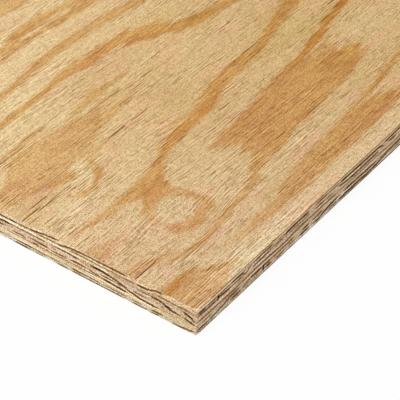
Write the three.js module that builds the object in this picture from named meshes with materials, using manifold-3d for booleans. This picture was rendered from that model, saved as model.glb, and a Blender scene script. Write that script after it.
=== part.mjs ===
// Plywood sheet, 4 ft by 8 ft by 23/32 in, laid up from six softwood veneers in
// five layers. Millimetres. +X runs along the face grain, +Y across the sheet and
// +Z up through the thickness. The origin is at the centre of the underside.
import * as THREE from 'three';
import { mergeVertices } from 'three/addons/utils/BufferGeometryUtils.js';
import Module from 'manifold-3d';

// ---------------------------------------------------------------- dimensions

const SHEET_LENGTH = 2438.4; // along the face grain
const SHEET_WIDTH = 1219.2; // across the face grain

// Veneer thicknesses, from the underside up, which come to 18.25, or 23/32 in.
// The two core plies lie with their grain the same way and count as one layer.
const BACK_VENEER = 2.5;
const LOWER_CROSSBAND = 3.75;
const LOWER_CORE_PLY = 2.875;
const UPPER_CORE_PLY = 3;
const UPPER_CROSSBAND = 3.5;
const FACE_VENEER = 2.625;

// Open joints in the crossbands, where two strips of the layer were laid with a
// gap. Each one opens on the long edge at -Y and closes to a point further in.
// Its distance is measured from the sheet's end at -X.
const UPPER_GAP = { fromEnd: 20.2, mouth: 1.3, depth: 70, height: 2.1, lift: 0.2 };
const LOWER_GAP = { fromEnd: 64.4, mouth: 0.8, depth: 110, height: 3.4, lift: 0.2 };

// How far a cutting wedge starts outside the edge that it opens.
const CUT_OVERRUN = 2;

// ------------------------------------------------------------------- colours

const COLOURS = {
  face_veneer: 0xcfa870,
  upper_crossband: 0xb39470,
  upper_core_ply: 0xb79a74,
  lower_core_ply: 0xb79b78,
  lower_crossband: 0xb0946f,
  back_veneer: 0xb5a182,
};

// ------------------------------------------------------------------ geometry

const wasm = await Module();
wasm.setup();

// A closed three.js geometry as a solid that can be cut.
function toSolid(geometry) {
  const bare = geometry.clone();
  bare.deleteAttribute('normal');
  bare.deleteAttribute('uv');
  const merged = mergeVertices(bare, 1e-4);
  const mesh = new wasm.Mesh({
    numProp: 3,
    vertProperties: new Float32Array(merged.attributes.position.array),
    triVerts: new Uint32Array(merged.index.array),
  });
  return new wasm.Manifold(mesh);
}

// A solid back as a three.js geometry.
function toGeometry(solid) {
  const mesh = solid.getMesh();
  const geometry = new THREE.BufferGeometry();
  geometry.setAttribute('position', new THREE.BufferAttribute(mesh.vertProperties, 3));
  geometry.setIndex(new THREE.BufferAttribute(mesh.triVerts, 1));
  geometry.computeVertexNormals();
  return geometry;
}

// One full-size veneer, with its underside at z = 0.
function veneer(thickness) {
  const geometry = new THREE.BoxGeometry(SHEET_LENGTH, SHEET_WIDTH, thickness);
  geometry.translate(0, 0, thickness / 2);
  return geometry;
}

// The wedge-shaped space of an open joint, standing on z = gap.lift. It is drawn
// in plan as a triangle with its mouth on the edge at -Y.
function gapWedge(gap) {
  const x = gap.fromEnd - SHEET_LENGTH / 2;
  const edge = -SHEET_WIDTH / 2;
  const flare = gap.mouth * (1 + CUT_OVERRUN / gap.depth);
  const plan = new THREE.Shape([
    new THREE.Vector2(x - flare / 2, edge - CUT_OVERRUN),
    new THREE.Vector2(x + flare / 2, edge - CUT_OVERRUN),
    new THREE.Vector2(x, edge + gap.depth),
  ]);
  const geometry = new THREE.ExtrudeGeometry(plan, { depth: gap.height, bevelEnabled: false });
  geometry.translate(0, 0, gap.lift);
  return geometry;
}

// A crossband with one open joint cut into its long edge.
function crossband(thickness, gap) {
  return toGeometry(toSolid(veneer(thickness)).subtract(toSolid(gapWedge(gap))));
}

// -------------------------------------------------------------------- lay-up

const sheet = new THREE.Group();

// The veneers from the underside up, each one glued flat on the one below it.
const LAYUP = [
  { name: 'back_veneer', thickness: BACK_VENEER, shape: veneer(BACK_VENEER) },
  {
    name: 'lower_crossband',
    thickness: LOWER_CROSSBAND,
    shape: crossband(LOWER_CROSSBAND, LOWER_GAP),
  },
  { name: 'lower_core_ply', thickness: LOWER_CORE_PLY, shape: veneer(LOWER_CORE_PLY) },
  { name: 'upper_core_ply', thickness: UPPER_CORE_PLY, shape: veneer(UPPER_CORE_PLY) },
  {
    name: 'upper_crossband',
    thickness: UPPER_CROSSBAND,
    shape: crossband(UPPER_CROSSBAND, UPPER_GAP),
  },
  { name: 'face_veneer', thickness: FACE_VENEER, shape: veneer(FACE_VENEER) },
];

let height = 0;
for (const ply of LAYUP) {
  const material = new THREE.MeshStandardMaterial({
    color: COLOURS[ply.name],
    roughness: 0.8,
    metalness: 0,
  });
  const mesh = new THREE.Mesh(ply.shape, material);
  mesh.name = ply.name;
  mesh.position.z = height;
  sheet.add(mesh);
  height += ply.thickness;
}

export default sheet;
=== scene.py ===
# Looks of the plywood sheet: six softwood veneers with their real grain figure and
# their sawn edges. Blender 4.5, in metres, in the CAD model's frame.
#
# The sheet's near corner is the one at -X and -Y. Places on the sheet are given in
# millimetres from it: x along the face grain, y across it, and depth down from the
# face. The grain is drawn round that corner and made by noise elsewhere.
import math

import bpy
import numpy as np
from mathutils import Matrix, Vector


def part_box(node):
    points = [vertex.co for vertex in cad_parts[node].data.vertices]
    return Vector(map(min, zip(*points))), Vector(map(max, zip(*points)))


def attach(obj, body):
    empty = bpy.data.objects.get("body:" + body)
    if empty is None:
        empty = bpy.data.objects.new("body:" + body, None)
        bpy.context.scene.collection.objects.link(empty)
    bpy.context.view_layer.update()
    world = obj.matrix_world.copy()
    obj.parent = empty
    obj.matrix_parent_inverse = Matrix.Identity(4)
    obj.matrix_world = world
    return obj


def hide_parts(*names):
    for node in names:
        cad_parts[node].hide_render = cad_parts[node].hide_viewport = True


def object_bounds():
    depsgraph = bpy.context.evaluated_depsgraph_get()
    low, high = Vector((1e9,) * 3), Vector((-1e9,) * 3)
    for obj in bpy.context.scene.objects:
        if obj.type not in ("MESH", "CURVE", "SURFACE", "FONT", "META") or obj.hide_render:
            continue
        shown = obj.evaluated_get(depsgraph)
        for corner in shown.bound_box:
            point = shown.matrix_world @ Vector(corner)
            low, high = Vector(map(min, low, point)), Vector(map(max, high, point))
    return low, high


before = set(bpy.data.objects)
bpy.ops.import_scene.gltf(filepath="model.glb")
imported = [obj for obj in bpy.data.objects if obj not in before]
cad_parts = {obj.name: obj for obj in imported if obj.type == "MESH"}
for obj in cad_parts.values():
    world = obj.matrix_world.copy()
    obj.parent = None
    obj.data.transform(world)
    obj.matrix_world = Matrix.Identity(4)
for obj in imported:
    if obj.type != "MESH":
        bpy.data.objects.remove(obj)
cad_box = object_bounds()

MM = 0.001

# ---- the sheet's own sizes

CORNER = np.array([cad_box[0][0], cad_box[0][1], cad_box[1][2]]) / MM
LENGTH = (cad_box[1][0] - cad_box[0][0]) / MM
WIDTH = (cad_box[1][1] - cad_box[0][1]) / MM
THICKNESS = (cad_box[1][2] - cad_box[0][2]) / MM

# The veneers from the face down: CAD node, material slot name, which the script reads only
# to find the crossbands, the axis its fibres run along, and its edge's colours where the cut
# runs along the fibres, across them and in light wood.
PLIES = [
    ("face_veneer", "face_veneer", 0, ("E6C59B", "DDBA90", "F0D8B0")),
    ("upper_crossband", "crossband", 1, ("D8B98D", "DAB891", "F2DFBA")),
    ("upper_core_ply", "core_ply", 0, ("DFC09C", "D8B893", "EAD0AB")),
    ("lower_core_ply", "core_ply", 0, ("DFBF9C", "DEC39E", "EACFAA")),
    ("lower_crossband", "crossband", 1, ("DCC296", "D6B793", "EEDAB2")),
    ("back_veneer", "back_veneer", 0, ("E9DCCA", "D6C5A5", "EBE1D1")),
]

# ---- mesh sizes, mm

FINE_RUN = (235.0, 160.0)  # how far the fine mesh of the edges goes, along x and y
FINE_STATION = 0.36
COARSE_STATION = 9.0
ROW = 0.32
SEAM_ROW = 0.14  # from a seam to the first row inside it
ARRIS_ROWS = [0.05, 0.3]  # extra rows where the face's arris is rounded
JOINT_LIP = 0.02  # from an open joint's top and bottom to the rows just outside it
ROW_CLEARANCE = 0.12  # round the rows that have a place of their own
PLACE_CLEARANCE = 0.4  # round the stations and grid lines of that kind, in fine steps
TOUCH = 0.01  # places less than this apart are the same
FINE_FACE = (345.0, 290.0)  # the part of the face with the fine grid, along x and y
FINE_CELL = (2.8, 1.25)
COARSE_CELL = (32.0, 12.0)
HIDDEN_CELL = (160.0, 160.0)
GROWTH = 1.25  # from one cell to the next, where fine turns to coarse
RIM = 1.6  # the strip between an edge and the first line of the grid inside it
SHARP = math.radians(40)

# ---- relief, mm

SEAM_DEPTH = 0.20  # the groove where two veneers meet at an edge
SEAM_HALF = 0.13
ARRIS_RADIUS = 0.28
WORN_CORNER = 0.9  # extra radius of the arris at the very corner
WORN_REACH = 3.0
LATE_RELIEF = 0.06  # latewood stands this much above earlywood
FIBRE_RELIEF = 0.05
WAVE_RELIEF = 0.05
SPLIT_DEPTH = 0.45
BACK_RELIEF = (0.03, 0.05, 0.06)  # at least, then what the fibres and the waves add
EDGE_RELIEF = (0.02, 0.05)  # at least, then what the waves add
EDGE_FIBRES = 0.10
EDGE_PORES = (0.05, 0.09)
FINE_FADE = 20.0  # the edges' fine relief fades out over this length

# ---- the figure of the face

# Latewood bands round the near corner: (tone, outline). Each outline is a few (x, low y,
# high y), and the tone is how dark the band is, or a few (x, how dark) where that changes.
BANDS = [
    # the long diagonal one above the knot
    ([(12, 0.7), (70, 0.8), (120, 0.98), (195, 0.81), (430, 0.8)], [
        (12, 88, 90.5), (25, 86.5, 91), (38, 84.5, 91), (50, 83, 91), (57, 80, 91.5), (68, 77, 93),
        (76, 78, 93.5), (82, 82, 94), (90, 88, 96), (98, 91.6, 98.8), (105, 93.5, 101),
        (120, 97, 105.5), (150, 98, 110), (185, 108, 118.5), (210, 109.2, 119.5),
        (235, 112.4, 119.2), (250, 116.5, 123.5), (262, 118.5, 128), (275, 120.5, 133),
        (290, 122.5, 139), (335, 129, 147), (390, 136, 146), (480, 140, 141),
    ]),
    (0.34, [
        (103, 100, 103), (112, 101, 107.5), (128, 103, 110), (150, 106, 111.5), (172, 110, 115),
    ]),
    # between it and the knot
    (0.84, [(50, 70, 72), (56, 71, 77), (62, 71, 86), (70, 71, 88), (77, 74, 88), (82, 84, 88)]),
    # the thin line under the knot, which widens and joins the island
    (0.74, [
        (18, 36.5, 38), (35, 29.5, 34.5), (50, 28, 33.5), (70, 31.5, 36.5), (90, 34, 38.5),
        (105, 36, 41.5), (115, 39.5, 47), (125, 42.5, 53), (133, 43.5, 56), (144, 44.5, 64),
    ]),
    # the island
    ([(121, 0.56), (135, 0.72), (152, 0.8), (200, 0.76), (276, 0.84)], [
        (121, 76.5, 79.5), (128, 69, 80), (133, 63.5, 80.4), (138, 57, 80.5), (145, 46, 80.6),
        (162, 47.5, 82), (200, 50.5, 85), (230, 51.6, 87.4), (244, 53, 80), (257, 55.5, 76),
        (266, 57.5, 71), (276, 59.5, 63),
    ]),
    # where it fades out above the tongue at its far end
    ([(226, 0.66), (246, 0.58), (262, 0.46)], [
        (224, 77, 84), (238, 76, 86), (252, 76.5, 87.5), (262, 78.5, 87), (272, 82, 86),
    ]),
    # the dark strip along the island's far side
    ([(172, 0.6), (212, 0.8), (250, 1.35)], [
        (172, 80, 82.5), (200, 82, 87.2), (240, 84.2, 91.6), (256, 86.2, 94.4), (266, 89.2, 95.8),
        (276, 92.6, 98.2), (290, 95.3, 101.2), (304, 97.4, 103.4), (330, 99.5, 107.5),
        (390, 104, 112), (450, 110, 112),
    ]),
    # the broad band next to the long edge
    ([(56, 0.6), (105, 0.62), (128, 0.66), (160, 0.75), (240, 0.78)], [
        (56, 17, 19), (80, 13.5, 20.5), (100, 11.7, 20.4), (110, 12, 22.8), (124, 12.2, 26.4),
        (150, 12.5, 29), (190, 13.3, 32), (222, 13, 30), (236, 14, 27), (252, 18, 24),
        (290, 19, 23),
    ]),
    # the strip that leaves it
    (0.72, [
        (198, 29, 32), (225, 31, 35.5), (260, 34, 40), (290, 39, 45), (360, 44, 52), (410, 49, 51),
    ]),
    # the patch at the very corner, with a darker streak
    (0.6, [(-12, 0, 26), (8, 0, 26), (20, 0, 22.5), (30, 2, 18), (42, 5, 11)]),
    (1, [(-10, 18, 23), (2, 17, 24), (13, 18, 25), (24, 20.5, 23)]),
    # streaks by the end, level with the knot
    (0.45, [(-10, 62, 78), (6, 64, 77), (14, 68, 73)]),
    (0.48, [(-10, 40, 50), (10, 40.5, 49), (20, 38.5, 45), (32, 34.5, 38)]),
    # the broad tan patch beyond the hook
    (0.58, [
        (-10, 134, 142), (10, 133, 148), (22, 131, 153), (32, 129.5, 160), (44, 128, 162.5),
        (55, 129.5, 163), (66, 133.5, 162), (78, 135.5, 161), (90, 137.5, 159.5), (102, 139.5, 157),
        (112, 141.5, 153.5), (122, 143, 150), (132, 145, 148),
    ]),
    (0.66, [(34, 124, 127), (40, 122.6, 129.5), (50, 122.6, 129.5), (55, 123.5, 127)]),
    # the hook
    ([(36, 0.7), (50, 0.78), (56, 0.86), (64, 0.86), (68, 0.7)], [
        (38, 109, 111.6), (41, 107, 111.2), (46, 105.8, 110.4), (51, 106.8, 110.6),
        (54, 108.2, 111.8), (57, 109.6, 114.6), (60, 111.4, 117.6), (63, 113, 119.8),
        (65.5, 115, 120), (67.5, 117.6, 118.4),
    ]),
    (0.58, [
        (60, 118, 122), (63, 118, 127), (66, 118.5, 131), (70, 124, 132.5), (78, 127.5, 132.5),
        (88, 129, 132),
    ]),
    # streaks on the tan patch's far side
    (0.52, [(28, 165, 166), (46, 162.5, 170), (66, 164, 171), (80, 167, 169)]),
    (0.56, [(98, 160, 163), (115, 161, 169), (140, 163, 168), (160, 164, 166)]),
    (0.22, [(98, 144, 152), (125, 146, 158), (150, 149, 157), (180, 151, 155)]),
    # the arch
    (0.86, [
        (40, 185, 189), (65, 186.5, 192), (100, 188.5, 194), (125, 190, 197), (145, 186.5, 197.5),
        (172, 185.5, 197), (188, 179.5, 195), (200, 172, 190.5), (215, 167, 182), (230, 160.5, 173),
        (250, 159, 168), (275, 158, 165), (330, 154, 160), (390, 150, 157), (460, 147, 148),
    ]),
    # the bands beyond the arch
    (0.7, [
        (60, 203, 206), (85, 206, 210.5), (110, 209, 215), (145, 211, 219.3), (172, 210.5, 219),
        (200, 208, 217.5), (228, 206, 214), (300, 197, 204), (350, 191, 199), (425, 188, 189),
    ]),
    (0.74, [
        (106, 232, 235), (125, 233, 244.5), (148, 234, 250.7), (172, 231.5, 250), (200, 231, 245.5),
        (230, 228, 240), (300, 221, 230), (400, 211, 222), (500, 209, 210),
    ]),
    (0.9, [(118, 241.5, 243.5), (145, 243, 248.5), (180, 243, 247), (215, 239, 241)]),
    (0.86, [(104, 234, 236), (130, 234.5, 238.5), (165, 233.5, 237.5), (205, 232, 235)]),
    (0.62, [(130, 271, 276), (150, 268, 282), (180, 267, 284), (380, 256, 270), (440, 257, 259)]),
]

# Earlywood that runs through or into the bands, as outlines of the same kind.
PALE = [
    [
        (42, 112.4, 119), (48, 112.6, 122), (54, 114, 124), (58, 117.4, 130), (62, 121, 132),
        (65.5, 127, 131),
    ],
    [(150, 239.6, 240.4), (172, 239.2, 240.8), (192, 239.6, 240.4)],
    [(241, 23, 30.5), (252, 21, 33), (275, 24, 31)],
    [(258, 79.5, 80), (268, 70, 85), (278, 62.5, 89.5), (320, 62, 94.5)],
]
END_TAPER = 0.30  # how fast a band thins past its last point, mm per mm
FIGURE_REACH = 12.0  # depths inside a band are kept within this, mm
OVERRULING = 0.7  # bands darker than this show through the ones before them
OVERRULING_DEPTH = 1.2  # where they are this deep, mm
RAGGED = (4.0, 12.0)  # how far the bands' ends are pulled out, by the knot and beyond, mm
RAGGED_FROM = (70, 130)  # the x between which that changes

# The ring of the small knot, going round its centre: (angle, how far out its inner and
# outer sides are, how dark it is).
KNOT_CENTRE = (61, 58.5)
KNOT_RING = [
    (0, 13, 21, 0.56), (30, 13.5, 21.8, 0.56), (55, 13, 22, 0.6), (90, 11.4, 17, 0.66),
    (130, 11.7, 20.5, 0.6), (165, 11.4, 19.4, 0.52), (195, 10.9, 18.6, 0.46), (215, 10.4, 20, 0.66),
    (242, 10, 19.4, 0.7), (270, 10, 18.2, 0.74), (305, 10.4, 19.4, 0.68), (333, 12.9, 24.6, 0.6),
]
KNOT_REACH = (23, 19)  # how far the fibres are pushed aside round it, along and across
KNOT_PUSH = -0.5

# Fine splits and dark fibres: (from x, to x, y, how dark). Their darkness is painted shade
# in the splits and the fibres' own colour.
SPLITS = [
    (-2, 15, 121, 0.8), (15, 27, 119.6, 0.7), (27, 42, 120.5, 0.55), (14, 25, 124.5, 0.8),
    (2, 9, 116.2, 0.6), (8, 16, 109.5, 0.5), (4, 15, 105.5, 0.5), (37, 42, 117, 0.4),
    (2, 17, 41.3, 0.95), (31.5, 33.5, 15, 0.95), (44, 50, 25, 0.45), (92, 107, 131, 0.6),
    (115, 130, 131, 0.55), (104, 135, 156.8, 0.5), (156, 165, 154, 0.6), (33, 52, 165, 0.45),
    (116, 122, 96.6, 0.8), (154, 162, 51.4, 0.55), (188, 206, 50.6, 0.45), (140, 148, 44.6, 0.5),
    (36, 52, 167.4, 0.35), (60, 76, 169.2, 0.3), (72, 80, 192.6, 0.4), (220, 232, 119.5, 0.75),
    (158, 166, 95.2, 0.6), (206, 216, 87.4, 0.5), (214, 224, 43.2, 0.5), (303, 310, 108.2, 1),
    (301, 306, 102.6, 0.6), (282, 288, 100.4, 0.7), (261, 267, 104.6, 0.45),
]
SPLIT_HALF = 0.55  # half the width of a split, mm
SPLIT_TAPER = 3.0

# The face is drawn darker and deeper in colour along the grain and paler away from the long
# edge, through its earlywood, and greyer by the near corner. Each is (at the corner, per mm
# of x, per mm of y). Past the drawn part both even out.
WARMTH = (0.435, 0.0033, -0.00325)
WARMTH_MOST = 0.85
WARMTH_BEYOND = 0.5
GREYNESS = (1.15, -0.0018, -0.0088)
GREYNESS_LEAST = -0.08
TINT_FADE = 300.0
PALE_BY_EDGE = 0.50  # how much paler earlywood is right by the long edge
PALE_REACH = 11.0

# Soft patches of another tint: (x, y, reach along, reach across, how much warmer, how
# much pinker, how much greyer).
TINTS = [
    (14, 57, 38, 22, 0.3, 0.35, 0), (60, 44, 20, 5, 0.2, 0.4, 0), (49, 49, 8, 7, -0.05, 0.3, 0.2),
    (62, 61, 13, 9, 0.05, -0.25, 0.3), (45, 62, 9, 12, 0.05, 0.2, 0.4),
    (59, 123, 5, 9, -0.28, -0.3, 0.25), (48, 117, 8, 4, -0.2, -0.2, 0),
    (65, 77, 12, 6, 0.26, 0.5, 0.1), (12, 21, 14, 5, 0.3, 0.1, 0), (8, 6, 23, 9, 0.38, 0.1, 0),
    (140, 177, 55, 9, 0.35, 0, 0), (14, 127, 26, 7, 0.5, 0.35, 0),
    (6, 119, 16, 7, 0.35, 0.05, -0.3), (28, 138, 30, 10, 0.2, 0.35, 0.3),
    (80, 148, 42, 12, 0.3, 0, 0.25), (222, 99, 24, 7, 0, -0.35, 0.1),
    (25, 100, 18, 10, -0.1, 0, 0.4), (178, 78, 16, 7, 0, 0.35, 0), (262, 112, 34, 12, 0, -0.35, 0),
    (210, 140, 34, 14, 0, -0.25, 0.1), (158, 66, 22, 15, 0.35, 0.1, 0.9),
    (195, 86, 26, 5, 0, -0.2, 0.6), (240, 48, 22, 6, 0, -0.6, 0), (155, 190, 24, 6, 0, 0.5, 0),
    (300, 78, 32, 18, -0.1, -0.35, 0.6), (260, 147, 26, 9, -0.05, -0.1, 0.5),
    (55, 95, 60, 14, 0.1, 0.1, 0), (110, 128, 60, 12, 0.1, 0, 0), (148, 133, 14, 17, 0.38, 0, 0),
    (146, 90, 13, 8, 0.25, 0, 0), (124, 165, 20, 6, 0.15, 0, -0.3),
    (172, 103, 26, 16, 0.15, 0.15, 0), (60, 4, 12, 6, -0.18, -0.6, 0),
    (244, 66, 20, 10, 0.55, -0.3, 0), (290, 101, 34, 6, 0.9, -0.1, 0), (280, 130, 26, 8, 0.4, 0, 0),
    (231, 114, 16, 9, 0.25, 0, -0.4), (211, 184, 20, 7, 0.05, 0, -0.4),
    (234, 27, 18, 7, 0.05, 0, -0.3), (238, 166, 22, 6, 0.5, -0.2, 0), (175, 39, 34, 7, -0.18, 0, 0),
    (265, 101.5, 20, 3.5, 0.2, 0, 0), (57, 55, 20, 18, 0, -0.25, 0.1), (57, 58.5, 6, 6, 0.14, 0, 0),
    (32, 7, 12, 5, -0.32, -0.1, 0), (98, 9, 42, 4.5, -0.22, -0.15, 0),
]

# The fibres are roughest by the near end and the long edge.
ROUGHNESS = 1.08
ROUGH_END = 0.38
ROUGH_EDGE = 0.18
ROUGH_REACH = 42.0
# Calmer places, and rougher ones below 0: (x, y, along, across, how much).
CALM_PLACES = [
    (61, 58.5, 17, 14, 0.8), (84, 84, 22, 14, 0.2), (285, 72, 38, 16, 0.5), (30, 14, 34, 20, -0.36),
    (30, 118, 40, 22, -0.1),
]

# Where the drawn figure starts to fade out, along x and y, and over how many mm.
DRAWN_TO = (345.0, 285.0)
DRAWN_FADE = (190.0, 80.0)

# ---- lines on the sawn edges

# Each line is (how dark, [(run along the edge, depth below the face), ...]).
LONG_EDGE_LINES = [
    # The first line, just under the face's arris, is painted shade along the arris.
    (0.42, [(12, 0.3), (60, 0.3), (150, 0.3), (226, 0.3)]), (0.95, [(0, 3.2), (10, 3.15)]),
    (0.62, [(8, 3.2), (33, 2.95)]), (1, [(31, 2.95), (45, 3.1)]),
    (0.72, [(41, 3), (43.5, 4.1), (46, 5.3), (50, 4), (53.5, 2.9)]),
    (1, [(20.7, 3.9), (20.3, 5), (19.7, 6)]), (1, [(19.6, 4.2), (19.9, 5.6)]),
    # The three lines round run 64, at depths 12.3 to 15.6, are painted shade in the mouth of the
    # open joint.
    (1, [(63.6, 12.3), (66.6, 12.5)]), (1, [(64.9, 12.4), (64.8, 15.6)]),
    (1, [(63.9, 12.6), (64, 14.4)]), (0.85, [(53.5, 2.9), (58, 2.4), (65, 2.15), (74, 2.2)]),
    (0.95, [(84, 3.7), (88, 3.1), (95, 2.9), (111, 2.8)]), (0.72, [(0, 5.5), (19, 5.5)]),
    (0.25, [(74, 2.2), (86, 2.5)]), (1, [(19, 4.6), (24, 5), (28, 5.35), (33, 5.6)]),
    (0.5, [(32, 5.6), (44, 5.6)]), (0.85, [(53, 5.6), (60, 5.3), (72, 4.9)]),
    (0.42, [(67, 4.9), (76, 4.4), (84, 3.6)]), (0.4, [(76, 5.5), (86, 4.9)]),
    (0.48, [(90, 5.7), (107, 5.4), (112, 4.9)]), (0.8, [(117, 2.35), (131, 2.45)]),
    (0.4, [(129, 2.5), (144, 2.5)]), (0.8, [(117, 5.3), (129, 5.4)]),
    (0.42, [(128, 5.5), (138, 5.9)]),
    (0.85, [(141, 4.2), (145, 5.1), (150, 5.8), (160, 6.45), (172, 6.6), (181, 6.5), (189, 6.2)]),
    (0.95, [(144, 2.6), (152, 3), (170, 3.1), (189, 3.2), (192, 4.1), (194.5, 5.6)]),
    (0.95, [(194, 3.3), (200, 2.95), (214, 2.65), (226, 2.6)]),
    (0.8, [(199.5, 5.7), (205, 5.5), (210, 5.1)]),
    (0.68, [
        (0, 9.2), (17, 9.3), (35, 9.8), (43, 9.4), (58, 8.95), (71, 8.95), (75, 9.4), (84, 9.4),
        (92, 9), (100, 8.5), (115, 8.45), (142, 8.6),
    ]),
    (0.45, [(142, 8.6), (160, 8.4), (168, 9), (190, 9.1), (226, 9.1)]),
    (0.55, [(5, 12.3), (16, 12.4)]), (0.95, [(28, 12.5), (34, 12.2), (41, 12.2)]),
    (0.85, [(0, 15.4), (9, 15.5), (15, 14.9), (21, 14.3), (27, 13.6), (32, 12.9)]),
    (0.75, [(32, 15.3), (43, 15.1)]), (0.62, [(43, 14.6), (47, 13.6), (52, 12.8)]),
    (0.92, [(50, 12.6), (65, 12.4)]), (0.95, [(64, 12.6), (72, 12.7)]),
    (0.65, [(71, 12.5), (97, 12.4)]), (0.3, [(44, 15.9), (62, 15.8)]),
    (0.6, [(89, 15.3), (98, 14.9)]), (0.9, [(66.5, 15.1), (73, 15.4)]),
    (0.6, [(76, 15.9), (82, 15.6), (88, 15.2)]), (0.95, [(101, 15.1), (112, 15.3)]),
    (0.9, [(104, 12.7), (112, 12.5)]), (1, [(115, 12.4), (127, 12)]),
    (1, [(116, 15.6), (124, 15.4), (128, 14.2), (133, 13.5), (139, 12.85), (145, 12.6)]),
    (1, [(150, 12.3), (161, 12.45), (170, 12.6), (179, 12.8), (188, 12.7)]),
    (0.4, [(187, 12.7), (196, 12.4)]), (0.8, [(162, 12.15), (187, 12.35)]),
    (1, [
        (143, 15.7), (154, 15.4), (162, 15.5), (170, 15.6), (178, 15.6), (187, 15.3), (191, 14.7),
        (195, 14), (199, 13.4), (203, 12.9), (214, 12.5), (226, 12.3),
    ]),
    (0.28, [(207, 15.6), (226, 15.6)]), (0.45, [(131, 15.9), (144, 15.7)]),
    (0.8, [(0, 17.4), (20, 17.6)]), (0.38, [(19, 17.6), (130, 17.6)]),
    (0.8, [(130, 17.7), (226, 17.7)]),
]
END_LINES = [
    (0.5, [(150, 2.7), (139, 2.85), (129, 2.95)]), (0.85, [(131, 2.95), (124, 3.05)]),
    (0.62, [(125, 3.1), (115, 2.9)]),
    (0.88, [(117, 2.9), (111, 2.5), (105, 1.1), (101, 0.8), (94, 0.3)]),
    (0.6, [(111, 3.2), (95, 3.2)]),
    (0.8, [(97, 3.4), (92, 3), (89, 2), (85, 1.4), (80, 1.2), (72, 1.1), (58, 1.1), (46, 0.9)]),
    (0.4, [(87, 3.35), (64, 3.3)]), (0.5, [(65, 3.3), (40, 3.2)]),
    (0.85, [(41, 3.1), (34, 2.9), (31, 2.3), (28, 1.2), (25, 0.8), (21, 0.4)]),
    (0.45, [(27, 3.3), (17, 3.5), (9, 3.3), (2, 3.4)]),
    (1, [(150, 6.8), (139, 6.7), (134, 6.3), (128, 6.1)]), (0.45, [(128, 6.1), (103, 6.1)]),
    (0.72, [(98, 6.1), (90, 6.1), (79, 6.4)]),
    (1, [
        (72, 6.5), (65, 6.5), (59, 7.1), (54.5, 7.8), (50.5, 8.8), (47.6, 10), (43.6, 11),
        (38.5, 11.9), (32, 12.3), (25.5, 12.4),
    ]),
    (0.6, [(65, 9.4), (56, 9.6), (51, 9.9), (47.6, 10.3)]), (0.8, [(148, 9.2), (133, 9.2)]),
    (0.75, [(129, 10.3), (118, 10.3)]), (0.88, [(117, 9.3), (111, 9.2), (105, 9.4), (101, 9.8)]),
    (0.65, [(102, 10.1), (96, 10.3), (87, 10.3)]), (1, [(87, 10.1), (80, 9.75), (74, 10)]),
    (0.72, [(75, 9.95), (70, 10.6), (63, 11.4)]),
    (1, [(64, 11.3), (59, 11.9), (53.4, 12.3), (46, 12.5)]), (0.8, [(113, 11.5), (109, 11.8)]),
    (0.28, [(134, 12.1), (84, 12.1), (66, 12.1)]), (0.55, [(42, 9.1), (34, 9.6)]),
    (0.55, [(41, 6.3), (31, 6.4)]),
    (0.95, [(31.5, 6.4), (25, 6.4), (22, 6.9), (20, 8.2), (17.4, 9.1), (10.5, 9.6)]),
    (0.9, [(9, 9.9), (4.8, 10.6), (0, 11.6)]), (1, [(20.6, 7.4), (18.8, 7.9), (16.6, 8.9)]),
    (1, [(10, 5.6), (6, 6.4), (3.6, 7.3), (2, 8.6), (1, 9.3)]),
    (0.85, [(150, 15.7), (135.5, 15.7)]), (0.78, [(127, 15.6), (112, 15.7)]),
    (0.5, [(112, 15.8), (102, 15.9)]), (0.75, [(86, 15.7), (64, 15.7)]),
    (0.5, [(64, 15.5), (46, 15.5)]), (0.5, [(104, 15.9), (92, 15.8)]),
    (0.55, [(44, 15.8), (36, 15.8)]), (0.78, [(31, 16), (27, 15.8), (21.5, 15.6)]),
    (0.8, [(128, 17.1), (123, 17.4), (114, 17.8)]), (0.6, [(113, 17.9), (104, 17.9)]),
    (0.72, [(97, 17.5), (86, 17.5)]), (0.7, [(86, 17.5), (66, 17.6), (48, 17.6)]),
    (0.75, [(44, 17.8), (36, 17.7), (32, 17)]), (0.75, [(31, 17.9), (25, 17.5)]),
    (0.75, [(18, 17.9), (12.8, 17.7), (7.6, 17), (3, 16.3), (0, 15.6)]),
]
LINE_REACH = 2.0  # distances to a line are kept within this, mm
LINE_TAPER = 4.0  # how long the fading end of a line is, mm
LINE_THINNING = 0.35
LONG_EDGE_WIDER = 1.3  # the long edge's lines are this much wider than the end's
LINES_FADE = 18.0  # the drawn lines fade out over this length, mm
LINES_SPARE = 20.0  # and start to this far short of the end of the fine mesh
SEAM_REACH = 0.2  # the glue between two veneers can show this far from their seam, mm

# The lines along the rest of the edges: (depth below the face, how dark at most). The one at
# 0.3 mm, just under the face's arris, is painted shade along it.
FREE_LINES = [
    (0.3, 0.45), (2.75, 1), (5.7, 0.85), (9.1, 0.7), (12.4, 1), (15.5, 0.95), (17.6, 0.75),
]
FREE_WANDER = 0.7  # how far they stray from that depth, mm
FREE_END = 0.72  # the ends' lines are this dark, against the long edges'

# Patches of lighter or darker wood on the edges: (run from, run to, depth from,
# depth to, shade), where a shade of 1 is the lightest and -1 the darkest.
LONG_EDGE_PATCHES = [
    (0, 90, 0.9, 2.2, 0.7), (86, 88.5, 13, 15, -0.7), (8, 30, 13.8, 14.9, 0.5),
    (45, 62, 3.2, 4.4, 0.5), (135, 192, 13.3, 14.9, 1.3), (132, 148, 4.8, 8.4, -0.35),
    (112, 118, 12.8, 15.8, -0.55), (28, 46, 10, 11.8, 0.5), (100, 112, 3.6, 4.5, 0.5),
    (149, 190, 3.9, 5.2, 0.6), (88, 107, 0.9, 1.9, 0.6), (62, 80, 2.8, 4, 0.8),
    (126, 142, 0.8, 3.9, -0.5), (147, 190, 0.8, 2, 0.45), (94, 118, 6.9, 7.9, 0.7),
    (88, 128, 10.1, 11.6, -0.55), (143, 192, 16.1, 17.1, 1.6), (184, 198, 10.8, 11.8, 0.6),
    (36, 44, 12.9, 14.2, 0.7), (2, 22, 13.2, 14.1, 0.5),
]
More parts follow.
